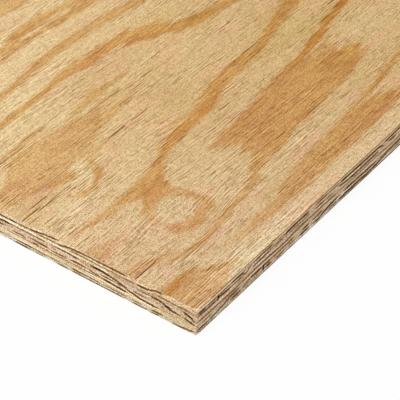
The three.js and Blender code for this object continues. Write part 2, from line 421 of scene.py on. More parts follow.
END_PATCHES = [
    (58, 140, 3.7, 5.7, 0.65), (60, 140, 0.2, 2.4, 0.5), (70, 96, 1.9, 2.8, 1),
    (104, 137, 10.5, 11.3, 0.35), (56, 70, 10, 11.8, 0.35), (118, 134, 1.9, 2.8, 0.5),
    (40, 64, 1.8, 4, -0.15), (50, 70, -0.2, 0.7, 0.6), (4, 28, 1.9, 2.9, 0.45),
    (3, 14, -0.2, 0.8, -0.6), (84, 136, 7, 8.2, 0.2), (0, 57, 3.6, 6, -0.5),
    (28, 50, 4.8, 6.7, -0.55), (0, 14, 4.9, 5.9, -0.8), (0, 4, 8.8, 9.9, -0.8),
    (32, 37, 3.8, 6.4, -0.9), (16, 21, 7.4, 9.4, -1.2), (14, 36, 9, 10.7, -0.35),
    (1, 3.5, 7.6, 9.6, -0.8), (0, 8, 12.4, 15.6, -0.2), (6, 46, 6.4, 9.6, -0.35),
    (0, 24, 9.8, 12.2, -0.35), (2, 24, 12, 12.9, -0.4), (0, 22, 15, 16, -0.4),
    (50, 70, 7.8, 9, 0.35), (70, 134, 11, 11.9, 0.5), (92, 127, 12.2, 13, 0.6),
    (112, 128, 16.1, 16.9, 0.8), (86, 98, 15, 16, 0.5), (127, 134, 13.8, 18, -0.45),
    (0, 50, 16.2, 18.2, -0.25), (8, 137, 12.8, 15.2, 0.4),
]
PATCH_FADE = (2.0, 0.5)  # along the edge and across it, mm

# ---- colours

# The flat sides' wood: pale, deep and pink earlywood, light and dark latewood.
FACE_WOOD = ("EACC99", "CFAA71", "DEB385", "D8A25A", "AF722A")
BACK_WOOD = ("D8C3A0", "C4A87E", "CBB08C", "B39468", "9A774C")
DARK_LINE = "3E2208"
# Near-black painted shade on the walls of the crossbands' open joints.
PAINTED_JOINT_SHADE = "1E130B"
LINE_SHADE = 0.07  # what is left of the wood's brightness in the darkest lines: ring and glue lines, and painted shade lines
SPLIT_SHADE = 0.12  # and in the darkest splits and dark fibres, painted shade in the splits
DARKEST, LIGHTEST = 0.42, 1.32  # the fibres' range of brightness
DARKENING = (0.74, 1.0, 1.55)  # how fast each channel falls as wood gets darker
PINKENING = (0.04, -0.07, 0.0)  # what full pinkness adds to each channel
GREYING = (-0.01, 0.0, 0.14)  # and full greyness
WOOD_ROUGHNESS = 0.72
WOOD_SPECULAR = 0.12
FACE_BUMP, EDGE_BUMP = 0.16, 0.15  # mm
PATCHINESS = (0.42, 2.30)  # how much the fibres show in calm and in rough patches
SINK = 16.0  # how far the noise's figure is pushed under where the drawn one rules, mm
RINGS_PER_MM = 0.36  # the edges' noise rings, down through the thickness
RING_BEND = 4.5

# ---- camera and light

CAMERA_PLACE = (-1.764986, -0.975462, 0.619357)
CAMERA_RIGHT = (0.58112337, -0.81304719, 0.03535390)
CAMERA_UP = (0.49264471, 0.38603014, 0.77992431)
LENS = 151.44
SENSOR = 36.0
CLIP = (0.05, 200.0)
WHITE = (1, 1, 1, 1)
WORLD_LEVEL = 0.40
SUN_LEVEL = 2.10
SUN_FROM = (-0.447, 0.0, 0.894)
SUN_SPREAD = math.radians(40)
FLOOR_HALF = 40.0
FLOOR_WHITE = (0.9, 0.9, 0.9, 1)
FLOOR_SHOWN = 0.90  # how much of the floor's white doesn't depend on the lamps


# ---- number helpers


def value_noise(u, v, seed):
    """Smooth noise from 0 to 1 on a unit lattice, the same on each run."""

    def lattice(i, j):
        h = np.sin(i * 127.1 + j * 311.7 + seed * 74.7) * 43758.5453
        return h - np.floor(h)

    i, j = np.floor(u), np.floor(v)
    a, b = u - i, v - j
    a, b = a * a * (3 - 2 * a), b * b * (3 - 2 * b)
    near = lattice(i, j) * (1 - a) + lattice(i + 1, j) * a
    far = lattice(i, j + 1) * (1 - a) + lattice(i + 1, j + 1) * a
    return near * (1 - b) + far * b


def smooth_curve(at, xs, ys):
    """A smooth curve through the points (xs, ys), read off at the places given."""
    slopes = np.gradient(ys, xs)
    i = np.clip(np.searchsorted(xs, at) - 1, 0, len(xs) - 2)
    h = xs[i + 1] - xs[i]
    t = np.clip((at - xs[i]) / h, 0, 1)
    rise = (2 * t**3 - 3 * t**2 + 1) * ys[i] + (3 * t**2 - 2 * t**3) * ys[i + 1]
    return rise + h * ((t**3 - 2 * t**2 + t) * slopes[i] + (t**3 - t**2) * slopes[i + 1])


def smooth_step(low, high, at):
    """0 at low, 1 at high and smooth between them. Low may be the greater one."""
    t = np.clip((at - low) / (high - low), 0, 1)
    return t * t * (3 - 2 * t)


def hill(x, y, cx, cy, along, across):
    """1 at (cx, cy), falling off over these reaches along and across the grain."""
    return np.exp(-(((x - cx) / along) ** 2) - ((y - cy) / across) ** 2)


def from_edges(x, y):
    """How far (x, y) is from the nearer end of the sheet and from its nearer long edge."""
    return np.minimum(x, LENGTH - x), np.minimum(y, WIDTH - y)


def hex_colour(code):
    """The linear colour of a six-digit sRGB code."""
    channels = [int(code[i : i + 2], 16) / 255 for i in (0, 2, 4)]
    linear = [c / 12.92 if c <= 0.04045 else ((c + 0.055) / 1.055) ** 2.4 for c in channels]
    return (*linear, 1.0)


def palette(codes):
    return [hex_colour(code) for code in codes]


# ---- the drawn figure


def inside_outline(x, y, outline):
    """How far (x, y) is inside an outline, in mm across the grain. Below 0 is outside."""
    xs, low, high = np.array(outline, float).T
    depth = np.minimum(y - smooth_curve(x, xs, low), smooth_curve(x, xs, high) - y)
    return depth - END_TAPER * np.maximum(np.maximum(xs[0] - x, x - xs[-1]), 0)


def ragged(x, y):
    """x with the fibres' unevenness added, which makes the bands' ends ragged."""
    pull = RAGGED[0] + (RAGGED[1] - RAGGED[0]) * smooth_step(*RAGGED_FROM, x)
    return x + pull * (value_noise(x / 40, y / 2.6, 41) + value_noise(x / 18, y / 1.7, 42) - 1)


def knot_ring(x, y):
    """How far (x, y) is inside the knot's ring and inside its eye, in mm, and the ring's tone."""
    dx, dy = x - KNOT_CENTRE[0], y - KNOT_CENTRE[1]
    out = np.hypot(dx, dy)
    angle = np.degrees(np.arctan2(dy, dx)) % 360
    ring = np.array(KNOT_RING[-1:] + KNOT_RING + KNOT_RING[:1])
    ring[0, 0] -= 360
    ring[-1, 0] += 360
    inner, outer, tone = [smooth_curve(angle, ring[:, 0], ring[:, k]) for k in (1, 2, 3)]
    return np.minimum(out - inner, outer - out), inner - out, tone


def tone_along(tone, x):
    """How dark a band is at x."""
    return np.interp(x, *zip(*tone)) if isinstance(tone, list) else np.full_like(x, tone)


def figure(x, y):
    """The drawn figure at (x, y): depth inside the nearest latewood, and its tone."""
    depth, tone = np.full_like(x, -FIGURE_REACH), np.zeros_like(x)
    along = ragged(x, y)
    for band_tone, outline in BANDS:
        inside, dark = inside_outline(along, y, outline), tone_along(band_tone, x)
        ruling = (inside > OVERRULING_DEPTH) & (dark > OVERRULING)
        tone = np.where((inside > depth) | ruling, dark, tone)
        depth = np.maximum(inside, depth)
    for outline in PALE:
        depth = np.minimum(depth, -inside_outline(along, y, outline))
    ring, eye, ring_tone = knot_ring(x, y)
    depth = np.where(eye > 0, np.minimum(depth, -eye), depth)
    tone = np.where(ring > depth, ring_tone, tone)
    return np.clip(np.maximum(ring, depth), -FIGURE_REACH, FIGURE_REACH), tone


def drawn_share(x, y):
    """1 where the figure is drawn, 0 where noise makes it."""
    past_x, past_y = (x - DRAWN_TO[0]) / DRAWN_FADE[0], (y - DRAWN_TO[1]) / DRAWN_FADE[1]
    return 1 - smooth_step(0, 1, np.maximum(past_x, past_y))


def split_darkness(x, y):
    """How dark the fine splits and dark fibres make (x, y), from 0 to 1: painted shade in the
    splits, and the fibres' own dark.
    """
    dark = np.zeros_like(x)
    for start, stop, level, strength in SPLITS:
        past = np.maximum(np.maximum(start - x, x - stop), 0) / SPLIT_TAPER
        across = np.abs(y - level) / SPLIT_HALF
        dark = np.maximum(dark, strength * np.clip(1 - across - past, 0, 1))
    return dark


def fibre_drift(x, y):
    """How far the fibres are pushed aside across the grain, in mm, round the knot."""
    return KNOT_PUSH * (y - KNOT_CENTRE[1]) * hill(x, y, *KNOT_CENTRE, *KNOT_REACH)


def fibre_roughness(x, y):
    """How strongly the fibres show: most where the end and the long edge were handled."""
    by_end, by_edge = [np.exp(-away / ROUGH_REACH) for away in from_edges(x, y)]
    rough = ROUGHNESS + ROUGH_END * by_end + ROUGH_EDGE * by_edge
    for *place, calm in CALM_PLACES:
        rough = rough - calm * hill(x, y, *place)
    return rough


def wood_tint(x, y):
    """How deep the earlywood's colour is, and how pink and how grey the wood is."""
    past = smooth_step(0, TINT_FADE, np.maximum(x - DRAWN_TO[0], y - DRAWN_TO[1]))
    warm, grey = [start + per_x * x + per_y * y for start, per_x, per_y in (WARMTH, GREYNESS)]
    warm = np.clip(warm, 0, WARMTH_MOST) - PALE_BY_EDGE * np.exp(-((y / PALE_REACH) ** 2))
    warm = warm + (WARMTH_BEYOND - warm) * past
    grey = np.clip(grey, GREYNESS_LEAST, 1) * (1 - past)
    tint = [warm, np.zeros_like(x), grey]
    for *place, warmer, pinker, greyer in TINTS:
        near = hill(x, y, *place)
        tint = [was + more * near for was, more in zip(tint, (warmer, pinker, greyer))]
    return tint


# ---- the drawn edges


def nearest_line(run, depth, lines):
    """The distance to the nearest drawn line, in mm, and how dark that line is there.
    A line fades and thins towards its two ends."""
    nearest, tone = np.full_like(run, LINE_REACH), np.zeros_like(run)
    for strength, points in lines:
        low, high = sorted((points[0][0], points[-1][0]))
        taper = min(LINE_TAPER, (high - low) / 3)
        body = smooth_step(-1.0, taper, np.minimum(run - low, high - run))
        for (r0, d0), (r1, d1) in zip(points, points[1:]):
            dr, dd = r1 - r0, d1 - d0
            t = np.clip(((run - r0) * dr + (depth - d0) * dd) / (dr * dr + dd * dd), 0, 1)
            away = np.hypot(run - r0 - t * dr, depth - d0 - t * dd) + LINE_THINNING * (1 - body)
            tone = np.where(away < nearest, strength * (0.5 + 0.5 * body), tone)
            nearest = np.minimum(nearest, away)
    return nearest, tone


def free_lines(run, depth, side):
    """The same for the rest of the edges: lines that stray from their depth and break up."""
    nearest, tone = np.full_like(run, LINE_REACH), np.zeros_like(run)
    for number, (level, strength) in enumerate(FREE_LINES):
        seed = 61 + 3 * number
        stray = value_noise(run / 38, side, seed) + value_noise(run / 95, side, seed + 1) - 1
        body = smooth_step(0.30, 0.60, value_noise(run / 27, side, seed + 2))
        away = np.abs(depth - level - FREE_WANDER * stray) + LINE_THINNING * (1 - body)
        tone = np.where(away < nearest, strength * (0.3 + 0.7 * body), tone)
        nearest = np.minimum(nearest, away)
    return nearest, tone * np.where(side >= 2, FREE_END, 1)


def patch_shade(run, depth, patches):
    """How much lighter or darker the patches make the edge."""
    fade_along, fade_across = PATCH_FADE
    shade = np.zeros_like(run)
    for r0, r1, d0, d1, level in patches:
        across = smooth_step(-fade_across, fade_across, np.minimum(depth - d0, d1 - depth))
        along = smooth_step(-fade_along, fade_along, np.minimum(run - r0, r1 - run))
        shade += level * across * along
    return shade


# ---- mesh building


def add_object(name, data):
    """A new object in the scene."""
    made = bpy.data.objects.new(name, data)
    bpy.context.scene.collection.objects.link(made)
    return made


def graded(length, fine_to, fine, coarse, exact=()):
    """Places from 0 to length: fine up to fine_to, then growing to coarse steps.
    The exact ones are kept, and the others give way to them."""
    places = list(np.linspace(0, fine_to, round(fine_to / fine) + 1)) if fine_to else [0.0]
    step = fine if fine_to else coarse
    while places[-1] + step * 1.5 < length:
        step = min(step * GROWTH, coarse)
        places.append(places[-1] + step)
    if length - places[-1] < 0.5 * step:
        places.pop()
    places = np.array(places + [length])
    for value in exact:
        clear = np.abs(places - value) > PLACE_CLEARANCE * fine
        places = places[clear | (places == 0) | (places == length)]
    return np.unique([*places, *exact])


def open_joint(node):
    """The wedge-shaped open joint of a crossband, read from the CAD node's vertices: where
    it is, half its width at the mouth, how far in it goes, and its top and bottom."""
    points = np.array([v.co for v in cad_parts[node].data.vertices]) / MM - CORNER
    inner = points[(points[:, 0] > 1) & (points[:, 0] < LENGTH - 1)]
    tip, mouth = inner[inner[:, 1] > 1], inner[inner[:, 1] <= 1]
    half = np.ptp(mouth[:, 0]) / 2
    return tip[:, 0].mean(), half, tip[:, 1].max(), -tip[:, 2].max(), -tip[:, 2].min()


JOINTS = {node: open_joint(node) for node, slot, *_ in PLIES if slot == "crossband"}


def perimeter():
    """The stations round the sheet, anticlockwise from the near corner: x, y, the inward
    direction, the run along the edge, and the side, which is 0 on the near long edge, 1 on
    the far one, 2 on the near end and 3 on the far one."""
    exact = [run + half * t for run, half, *_ in JOINTS.values() for t in (-1, -0.5, 0, 0.5, 1)]
    near_x = graded(LENGTH, FINE_RUN[0], FINE_STATION, COARSE_STATION, exact)
    near_y = graded(WIDTH, FINE_RUN[1], FINE_STATION, COARSE_STATION)
    far_x, far_y = [graded(size, 0, COARSE_STATION, COARSE_STATION) for size in (LENGTH, WIDTH)]
    columns = []
    for x, y, inward, side in (
        (near_x, 0.0, (0.0, 1.0), 0),
        (LENGTH, far_y, (-1.0, 0.0), 3),
        (far_x[::-1], WIDTH, (0.0, -1.0), 1),
        (0.0, near_y[::-1], (1.0, 0.0), 2),
    ):
        x, y = [place[:-1] for place in np.broadcast_arrays(x, y)]
        inward = np.tile(inward, (len(x), 1))
        columns.append([x, y, inward, y if side > 1 else x, np.full(len(x), side)])
    for before, after in zip(columns[-1:] + columns[:-1], columns):
        after[2][0] += before[2][-1]
    return [np.concatenate(column) for column in zip(*columns)]


RING_X, RING_Y, INWARD, RUN, SIDE = perimeter()


def ring_sides():
    """The four sides as (station numbers, distances from the side's first corner)."""
    corners = np.flatnonzero(np.isin(RING_X, (0, LENGTH)) & np.isin(RING_Y, (0, WIDTH)))
    sides = []
    for start, end in zip(corners, [*corners[1:], len(RING_X)]):
        numbers = np.arange(start, end + 1) % len(RING_X)
        away = np.hypot(RING_X[numbers] - RING_X[start], RING_Y[numbers] - RING_Y[start])
        sides.append((numbers, away))
    return sides


RING_SIDES = ring_sides()


def ply_rows(node):
    """Depths of the rows of a ply's edge, from its top to its bottom."""
    low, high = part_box(node)
    top, bottom = (cad_box[1][2] - high[2]) / MM, (cad_box[1][2] - low[2]) / MM
    exact = [top + SEAM_ROW, bottom - SEAM_ROW]
    if node == "face_veneer":
        exact += ARRIS_ROWS
    if node in JOINTS:
        *_, upper, lower = JOINTS[node]
        exact = [top + SEAM_ROW, upper - JOINT_LIP, upper, lower, lower + JOINT_LIP]
    inner = np.linspace(top, bottom, round((bottom - top) / ROW) + 1)[1:-1]
    for value in exact:
        inner = inner[np.abs(inner - value) > ROW_CLEARANCE]
    return np.sort([top, *inner, *exact, bottom])


def by_seam(depth, rows, reach):
    """1 at a ply's top and bottom, falling to 0 at this distance from them."""
    return np.clip(1 - np.minimum(depth - rows[0], rows[-1] - depth) / reach, 0, 1)


def edge_relief(rows, grain, seed):
    """How far each point of a ply's edge lies inside the sawn plane, in mm (stations, rows)."""
    run, depth = RUN[:, None], rows[None, :]
    fine = 1.0
    for place, fine_to in ((RING_X, FINE_RUN[0]), (RING_Y, FINE_RUN[1])):
        fine = fine * smooth_step(fine_to + FINE_FADE, fine_to, place)[:, None]
    fibres = EDGE_FIBRES * value_noise(run / 11, depth / 0.45, seed)
    pores = EDGE_PORES[0] + EDGE_PORES[1] * value_noise(run / 0.9, depth / 0.8, seed + 5)
    relief = EDGE_RELIEF[0] + fine * np.where((SIDE // 2 == grain)[:, None], fibres, pores)
    relief = relief + EDGE_RELIEF[1] * value_noise(run / 40, depth / 2.5, seed + 9)
    seam = SEAM_DEPTH * (0.45 + 0.9 * value_noise(run / 7, depth * 0, seed + 13))
    outer = (rows[0] < TOUCH) & (depth < 1)
    outer = outer | ((rows[-1] > THICKNESS - TOUCH) & (depth > THICKNESS - 1))
    relief = relief + np.where(outer, 0, seam * by_seam(depth, rows, SEAM_HALF))
    return relief + arris(run, depth, seed)


def arris(run, depth, seed):
    """The rounding of the face's arris and the underside's, worn most at the near corner."""
    from_corner = np.hypot(*from_edges(RING_X, RING_Y))[:, None]
    radius = ARRIS_RADIUS * (0.6 + 0.8 * value_noise(run / 5, depth * 0, seed + 21))
    radius = radius + WORN_CORNER * np.exp(-((from_corner / WORN_REACH) ** 2))
    t = np.clip(np.minimum(depth, THICKNESS - depth) / radius, 0, 1)
    return radius * (1 - np.sqrt(1 - (1 - t) ** 2))


def inside_joint(level, joint):
    """Which vertices of an edge belong to its open joint."""
    run, half, _, top, bottom = joint
    within = (level > top - TOUCH) & (level < bottom + TOUCH)
    return within & ((np.abs(RING_X - run) < half + TOUCH) & (RING_Y == 0))[:, None]


def cut_joint(relief, rows, joint):
    """Presses an open joint into a crossband's edge, to the CAD's own depth."""
    run, half, reach, *_ = joint
    wedge = reach * np.clip(1 - np.abs(RING_X - run) / half, 0, 1)[:, None]
    return np.where(inside_joint(rows, joint) & (wedge > 0), wedge, relief)


def face_relief(x, y):
    """How far the face lies below the CAD's top plane, in mm."""
    depth, tone = figure(x, y)
    drawn = drawn_share(x, y)
    late = np.minimum(smooth_step(-1, 1, depth) * tone * drawn, 1)
    fibre = FIBRE_RELIEF * value_noise(x / 9, y / 1.9, 3) * drawn
    wave = WAVE_RELIEF * value_noise(x / 150, y / 45, 4)
    return LATE_RELIEF * (1 - late) + fibre + wave + SPLIT_DEPTH * split_darkness(x, y)


def back_relief(x, y):
    """How far the underside lies above the CAD's bottom plane, in mm."""
    least, fibres, waves = BACK_RELIEF
    fibres = fibres * value_noise(x / 60, y / 9, 31)
    return least + fibres + waves * value_noise(x / 210, y / 60, 32)


def no_relief(x, y):
    return 0 * x


def grid_lines(fine_to, fine, coarse, exact=((), ())):
    """A flat side's grid lines along x and along y, kept clear of the edges by the rim."""
    lines = []
    for size, *steps in zip((LENGTH, WIDTH), fine_to, fine, coarse, exact):
        places = graded(size, *steps)
        clear = RIM + 0.5 * steps[1]
        inner = places[(places > clear) & (places < size - clear)]
        lines.append(np.array([RIM, *inner, size - RIM]))
    return lines


SPLIT_LINES = sorted({round(s[2] + k * SPLIT_HALF, 3) for s in SPLITS for k in (-1, 0, 1)})
HIDDEN_GRID = grid_lines((0, 0), HIDDEN_CELL, HIDDEN_CELL)
FACE_GRID = grid_lines(FINE_FACE, FINE_CELL, COARSE_CELL, ((), SPLIT_LINES))
BACK_GRID = grid_lines((0, 0), COARSE_CELL, COARSE_CELL)
# The two flat sides that show. The number is the kind of face: 1 on top, 2 on the underside.
SHOWN_SIDES = {
    ("face_veneer", 1): (FACE_GRID, face_relief),
    ("back_veneer", 2): (BACK_GRID, back_relief),
}


def quads(*corners):
    return np.stack(corners, -1).reshape(-1, 4).tolist()


def zipper(outer, inner):
    """Triangles between two sides, the outer one and the inner one. Each side is (vertex
    numbers, distances along it), and the nearer vertex is always the next to be joined."""
    steps = sorted([(away, 0) for away in outer[1][1:]] + [(away, 1) for away in inner[1][1:]])
    numbers, at, faces = (outer[0], inner[0]), [0, 0], []
    for _, which in steps:
        ahead = numbers[which][at[which] + 1]
        faces.append((numbers[0][at[0]], ahead, numbers[1][at[1]]))
        at[which] += 1
    return faces


def flat_side(ring, x_lines, y_lines, first):
    """A grid inside the ring of edge vertices, joined to it: its x, its y and its faces,
    which look up. The grid's vertices are numbered from first."""
    x, y = [places.ravel() for places in np.meshgrid(x_lines, y_lines, indexing="ij")]
    index = first + np.arange(len(x)).reshape(len(x_lines), len(y_lines))
    faces = quads(index[:-1, :-1], index[1:, :-1], index[1:, 1:], index[:-1, 1:])
    border = [
        (index[:, 0], x_lines),
        (index[-1], y_lines),
        (index[::-1, -1], LENGTH - x_lines[::-1]),
        (index[0, ::-1], WIDTH - y_lines[::-1]),
    ]
    for (stations, away), inner in zip(RING_SIDES, border):
        faces += zipper((ring[stations], away), inner)
    return x, y, faces


def make_ply(node, grain, seed):
    """One veneer as a closed mesh: its sawn edge and its two flat sides. Also gives the kind
    of each face: 0 for the edge, 1 for the top and 2 for the underside."""
    rows = ply_rows(node)
    relief = edge_relief(rows, grain, seed)
    if node in JOINTS:
        relief = cut_joint(relief, rows, JOINTS[node])
    x, y = RING_X[:, None] + INWARD[:, :1] * relief, RING_Y[:, None] + INWARD[:, 1:] * relief
    wall = np.stack([x, y, np.broadcast_to(-rows, x.shape)], -1)
    index = np.arange(x.size).reshape(x.shape)
    ahead = np.roll(index, -1, axis=0)
    faces = quads(index[:, 1:], ahead[:, 1:], ahead[:, :-1], index[:, :-1])
    kinds = [0] * len(faces)
    first, grids = x.size, []
    for kind, row, sign in ((1, 0, -1), (2, -1, 1)):
        lines, relief_of = SHOWN_SIDES.get((node, kind), (HIDDEN_GRID, no_relief))
        x, y, flat = flat_side(index[:, row], *lines, first)
        wall[:, row, 2] += sign * relief_of(*wall[:, row, :2].T)
        grids.append(np.stack([x, y, sign * relief_of(x, y) - rows[row]], -1))
        faces += flat if kind == 1 else [face[::-1] for face in flat]
        kinds += [kind] * len(flat)
        first += len(x)

    points = np.concatenate([wall.reshape(-1, 3), *grids])
    mesh = bpy.data.meshes.new(node + "_wood")
    mesh.from_pydata(((points + CORNER) * MM).tolist(), [], faces)
    mesh.validate()
    mesh.shade_smooth()
    mesh.set_sharp_from_angle(angle=SHARP)
    if node == "face_veneer":
        write_values(mesh, face_values(points[:, 0], points[:, 1]))
    write_values(mesh, edge_values(node, rows))
    return add_object(node + "_wood", mesh), np.array(kinds)


def write_values(mesh, values):
    """Puts numbers on the vertices, for the materials to read. The edge's vertices come
    first, and those that get no number lie far from any line."""
    for name, numbers in values.items():
        padded = np.full(len(mesh.vertices), LINE_REACH if name == "line_away" else 0.0, np.float32)
        padded[: numbers.size] = numbers.ravel()
        mesh.attributes.new(name, "FLOAT", "POINT").data.foreach_set("value", padded)


def face_values(x, y):
    """The drawn figure as numbers on the vertices of the face veneer."""
    band_depth, band_tone = figure(x, y)
    warm, pink, grey = wood_tint(x, y)
    return {
        "band_depth": band_depth,
        "band_tone": band_tone,
        "drawn": drawn_share(x, y),
        "split": split_darkness(x, y),
        "drift": fibre_drift(x, y),
        "warmth": warm,
        "pink": pink,
        "grey": grey,
        "rough": fibre_roughness(x, y),
    }


def edge_values(node, rows):
    """The drawn lines and patches, and where the open joint's walls get painted shade, as
    numbers on the vertices of a ply's edge.
    """
    level, run = np.broadcast_arrays(rows[None, :], RUN[:, None])
    away, tone = free_lines(run, level, SIDE[:, None])
    shade, drawn_edge = np.zeros_like(run), np.zeros_like(run)
    for across, along, fine_to, lines, wider, patches in (
        (RING_Y, RING_X, FINE_RUN[0], LONG_EDGE_LINES, LONG_EDGE_WIDER, LONG_EDGE_PATCHES),
        (RING_X, RING_Y, FINE_RUN[1], END_LINES, 1.0, END_PATCHES),
    ):
        here = np.flatnonzero((across == 0) & (along < fine_to))
        nearest, line_tone = nearest_line(run[here], level[here], lines)
        nearest = nearest / wider
        fade_from = fine_to - LINES_SPARE
        drawn_edge[here] = 1 - smooth_step(fade_from, fade_from + LINES_FADE, run[here])
        beyond = away[here] + LINE_REACH * drawn_edge[here]
        tone[here] = np.where(nearest < beyond, line_tone, tone[here])
        away[here] = np.minimum(nearest, beyond)
        shade[here] = patch_shade(run[here], level[here], patches)
    return {
        "line_away": away,
        "line_tone": tone,
        "shade": shade,
        "drawn_edge": drawn_edge,
        "seam": by_seam(level, rows, SEAM_REACH),
        # where the open joint's walls get painted shade
        "joint_shade_mask": inside_joint(level, JOINTS[node]) if node in JOINTS else 0 * run,
    }


# ---- node helpers


class Value:
    """A number, colour or shader made by a node. Numbers can be reckoned with."""

    def __init__(self, tree, socket):
        self.tree = tree
        self.socket = socket

    def __add__(self, other):
        return self.tree.math("ADD", self, other)

    def __mul__(self, other):
        return self.tree.math("MULTIPLY", self, other)

    def __sub__(self, other):
        return self.tree.math("SUBTRACT", self, other)

    def __rsub__(self, other):
        return self.tree.math("SUBTRACT", other, self)

    __radd__ = __add__
    __rmul__ = __mul__


class Tree:
    """A short way to write the nodes of a material or world."""

    def __init__(self, owner):
        owner.use_nodes = True
        self.owner = owner
        self.nodes = owner.node_tree.nodes
        self.links = owner.node_tree.links
        self.nodes.clear()

    def node(self, kind, inputs, output=0, **settings):
        """A new node and its output. The inputs are {socket: number, colour or Value}."""
        made = self.nodes.new("ShaderNode" + kind)
        for key, value in settings.items():
            setattr(made, key, value)
        for key, value in inputs.items():
            if isinstance(value, Value):
                self.links.new(value.socket, made.inputs[key])
            else:
                made.inputs[key].default_value = value
        return Value(self, made.outputs[output]) if made.outputs else None

    def math(self, operation, *values):
        return self.node("Math", dict(enumerate(values)), operation=operation)

    def vector(self, operation, *values):
        return self.node("VectorMath", dict(enumerate(values)), operation=operation)

    def step(self, value, low, high):
        """0 at low, 1 at high and smooth between them."""
        inputs = {"Value": value, "From Min": low, "From Max": high}
        return self.node("MapRange", inputs, interpolation_type="SMOOTHSTEP")

    def blend(self, share, a, b):
        """A number from a to b."""
        return a + share * (b - a)

    def mix(self, share, a, b):
        """A colour from a to b."""
        return self.node("Mix", {0: share, 6: a, 7: b}, 2, data_type="RGBA")

    def attribute(self, name):
        return self.node("Attribute", {}, "Fac", attribute_name=name)

    def place(self):
        """The place on the object in mm."""
        here = self.node("TexCoord", {}, "Object")
        return self.node("VectorMath", {0: here, "Scale": 1 / MM}, operation="SCALE")

    def part(self, vector, axis):
        """The x, y or z of a vector."""
        return self.node("SeparateXYZ", {0: vector}, axis)

    def noise(self, place, grain, seed, detail=2.0, roughness=0.5, distortion=0.0, aside=0.0):
        """Noise whose spots have the size grain (x, y, z), in mm. It is read the distance
        aside off along y, in mm."""
        shift = (seed * 17.3, seed * 7.9 + aside / grain[1], seed * 3.1)
        scaled = self.vector("MULTIPLY_ADD", place, [1 / g for g in grain], shift)
        inputs = {"Vector": scaled, "Scale": 1.0, "Detail": detail, "Roughness": roughness}
        return self.node("TexNoise", {**inputs, "Distortion": distortion}, "Fac")

    def painted_flank_shading(self, place, grain, seed, aside, **settings):
        """Painted light and shade on fibres: each one is painted light on one flank and dark on the
        other, as a raised fibre would be lit.
        """
        here = self.noise(place, grain, seed, **settings)
        return here - self.noise(place, grain, seed, aside=aside, **settings)

    def filtered(self, colour, *channels):
        """A colour with each channel times a number."""
        tint = self.node("CombineXYZ", dict(enumerate(channels)))
        return self.vector("MULTIPLY", colour, tint)

    def brighten(self, colour, factor):
        """A wood colour made lighter or darker. Dark wood is redder and light wood whiter."""
        return self.filtered(colour, *[self.math("POWER", factor, power) for power in DARKENING])

    def tinted(self, colour, amount, channels):
        """A colour whose channels each grow by their share of the amount."""
        return self.filtered(colour, *[1 + amount * share for share in channels])

    def finish(self, colour, height, bump_distance):
        """Matt wood with this colour and these heights, which the bump takes as mm."""
        inputs = {"Strength": 1.0, "Distance": bump_distance * MM, "Height": height}
        bump = self.node("Bump", inputs)
        inputs = {"Base Color": colour, "Roughness": WOOD_ROUGHNESS, "Normal": bump}
        inputs["Specular IOR Level"] = WOOD_SPECULAR
        self.node("OutputMaterial", {"Surface": self.node("BsdfPrincipled", inputs)})
        return self.owner


def swing(noise, amount):
    """Noise as a number about 0, up to about half the amount either way."""
    return (noise - 0.5) * amount


# ---- materials


def free_figure(tree, place, seed, rings, spacing):
    """Rotary-cut figure from noise: how far the place is inside latewood, in mm."""
    field = tree.noise(place, (880, 118, 400), seed, detail=1.4, roughness=0.35, distortion=0.25)
    slope = tree.noise(place, (1900, 360, 400), seed + 3, detail=0.0)
    off = tree.math("PINGPONG", field * rings + slope * (rings * 0.8), 0.5)
    return (0.17 - off) * spacing


def fibre_texture(tree, place, rough):
    """The fine grain of peeled veneer: a brightness about 1, which holds painted light and shade
    on the fibres' flanks, and a height. Rough is how strongly the fibres show."""
    fine = tree.painted_flank_shading(place, (8, 0.62, 8), 1, 0.55, roughness=0.6)
    long = tree.painted_flank_shading(place, (30, 0.8, 30), 3, 0.7, roughness=0.55)
    soft = tree.noise(place, (14, 0.9, 14), 8, roughness=0.6)
    grit = tree.noise(place, (0.62, 0.5, 0.62), 2, detail=0.5)
    ripple = tree.noise(place, (1.9, 6, 6), 4, detail=1.0)
    dark = tree.step(tree.noise(place, (13, 0.52, 13), 5, detail=1.0), 0.62, 0.68)
    deep = tree.step(tree.noise(place, (8, 0.62, 8), 6, detail=1.0), 0.67, 0.74)
    pale = tree.step(tree.noise(place, (13, 0.55, 13), 7, detail=1.0), 0.62, 0.70)
    # fine and long are painted light and shade on the fibres' flanks; the height leaves them out.
    change = fine * 0.72 + long * 0.80 + swing(soft, 0.40) + swing(ripple, 0.25)
    change = change - dark * 0.38 - deep * 0.48 + pale * 0.30
    height = swing(soft, 1.0) + swing(grit, 0.6) + swing(ripple, 0.4) - dark * 0.5 - deep * 0.6
    bright = 1.0 + change * rough + swing(grit, 1.85)
    return tree.math("MINIMUM", tree.math("MAXIMUM", bright, DARKEST), LIGHTEST), height


def veneer_depth(tree, place, fibres, streak, drawn):
    """How far the place is inside latewood, in mm, and how dark that latewood is."""
    depth = free_figure(tree, place, 13 if drawn else 47, 15, 46)
    tone = tree.blend(tree.noise(place, (240, 40, 100), 14), 0.45, 1.05)
    if drawn:
        patches = tree.noise(place, (130, 26, 100), 18, detail=1.0)
        ruled = tree.attribute("drawn") * 2.6 + swing(patches, 4.5)
        depth = depth - tree.step(ruled, 0.1, 0.9) * SINK
        band = tree.attribute("band_depth")
        tone = tree.blend(tree.step(band - depth, -1.0, 1.0), tone, tree.attribute("band_tone"))
        depth = tree.math("MAXIMUM", depth, band)
    drift = tree.noise(fibres, (60, 4.0, 60), 12)
    return depth + swing(streak, 6.5) + swing(drift, 4.5), tone


